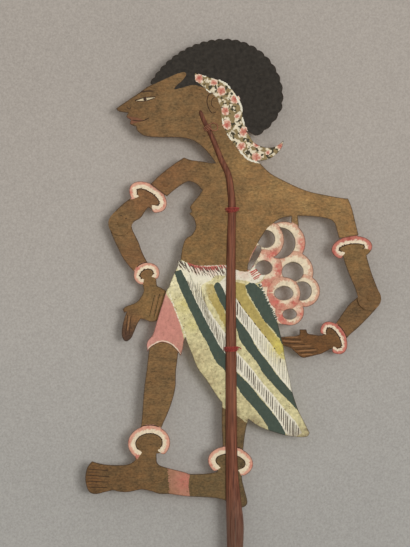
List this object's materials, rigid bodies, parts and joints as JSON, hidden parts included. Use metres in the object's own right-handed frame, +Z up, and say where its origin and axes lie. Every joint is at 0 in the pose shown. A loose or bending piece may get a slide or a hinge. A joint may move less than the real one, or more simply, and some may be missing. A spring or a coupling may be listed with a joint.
{
  "type": "shadow puppet",
  "caption": "Flat shadow puppet of carved and painted hide, gripped between the tongues of a split control rod, with arms that turn on knotted thongs at shoulder and elbow.",
  "frame": {"origin": "middle of the straight hand grip of the control rod, on its axis", "axes": "+Z up along the rod from the grip to the head, +X to the back of the figure, -Y towards the viewer of the painted front"},
  "size_m": [0.2965, 0.0174, 0.6614],
  "materials": {
    "hide": "matte painted rawhide with a flecked grain",
    "rod": "smooth, worn, with streaks along the grain",
    "thread": "twisted red cotton thread",
    "thong": "matte knotted hide thong"
  },
  "bodies": {
    "puppet_body": {"body_hide": "hide", "control_rod": "rod", "cheek_lashing": "thread", "chest_lashing": "thread", "thigh_lashing": "thread", "front_shoulder_knot": "thong", "rear_shoulder_knot": "thong"},
    "front_upper_arm": {"front_upper_arm": "hide", "front_elbow_knot": "thong"},
    "front_forearm": {"front_forearm": "hide"},
    "rear_upper_arm": {"rear_upper_arm": "hide", "rear_elbow_knot": "thong"},
    "rear_forearm": {"rear_forearm": "hide"}
  },
  "joints": [
    {"name": "front_shoulder", "type": "hinge", "parent": "puppet_body", "child": "front_upper_arm", "pos_m": [-0.0695, 0, 0.4007], "axis": [0, 1, 0], "range_deg": [-20, 100]},
    {"name": "front_elbow", "type": "hinge", "parent": "front_upper_arm", "child": "front_forearm", "pos_m": [-0.115, 0, 0.3615], "axis": [0, 1, 0], "range_deg": [-15, 115]},
    {"name": "rear_shoulder", "type": "hinge", "parent": "puppet_body", "child": "rear_upper_arm", "pos_m": [0.1113, 0, 0.3569], "axis": [0, 1, 0], "range_deg": [-110, 20]},
    {"name": "rear_elbow", "type": "hinge", "parent": "rear_upper_arm", "child": "rear_forearm", "pos_m": [0.1345, 0, 0.2865], "axis": [0, 1, 0], "range_deg": [-120, 20]}
  ]
}
